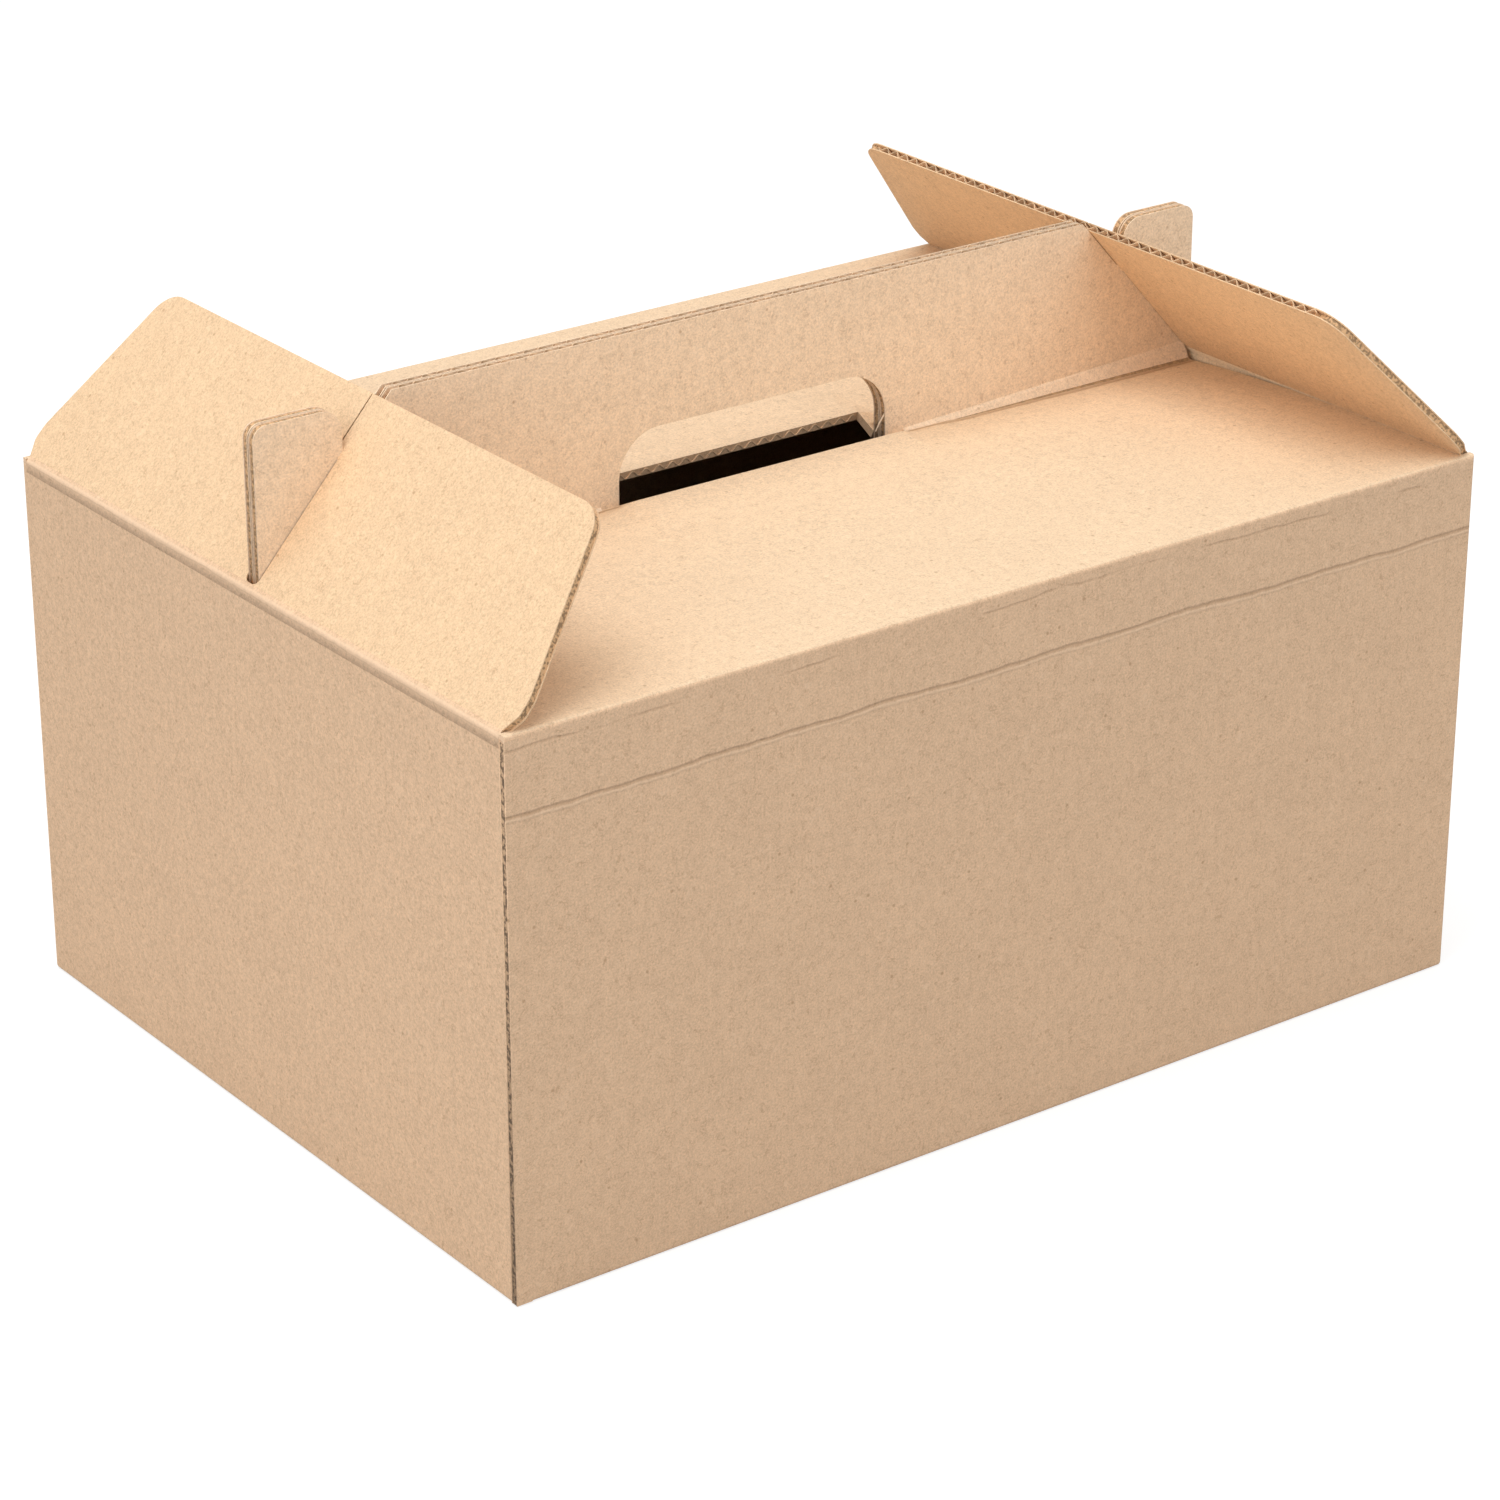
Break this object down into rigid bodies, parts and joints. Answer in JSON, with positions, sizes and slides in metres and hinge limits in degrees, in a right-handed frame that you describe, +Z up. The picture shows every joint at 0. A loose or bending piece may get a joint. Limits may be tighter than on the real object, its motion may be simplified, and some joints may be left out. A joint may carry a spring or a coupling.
{
  "type": "cardboard lunch box",
  "caption": "Corrugated cardboard carry-out box, die cut and folded, with a double carry handle, hand hole and hooked end flaps that swing open.",
  "frame": {"origin": "centre of the base, on the floor", "axes": "+X along the handle and the long side, +Y from the front wall to the back wall, +Z up"},
  "size_m": [0.41, 0.303, 0.257],
  "materials": {
    "kraft_board": "matt brown kraft paper over B flute"
  },
  "bodies": {
    "carton": {"carton": "kraft_board"},
    "left_end_flap": {"left_end_flap": "kraft_board"},
    "right_end_flap": {"right_end_flap": "kraft_board"}
  },
  "joints": [
    {"name": "left_flap_crease", "type": "hinge", "parent": "carton", "child": "left_end_flap", "pos_m": [-0.2035, 0, 0.1985], "axis": [0, -1, 0], "range_deg": [0, 130]},
    {"name": "right_flap_crease", "type": "hinge", "parent": "carton", "child": "right_end_flap", "pos_m": [0.2035, 0, 0.1985], "axis": [0, 1, 0], "range_deg": [0, 130]}
  ]
}
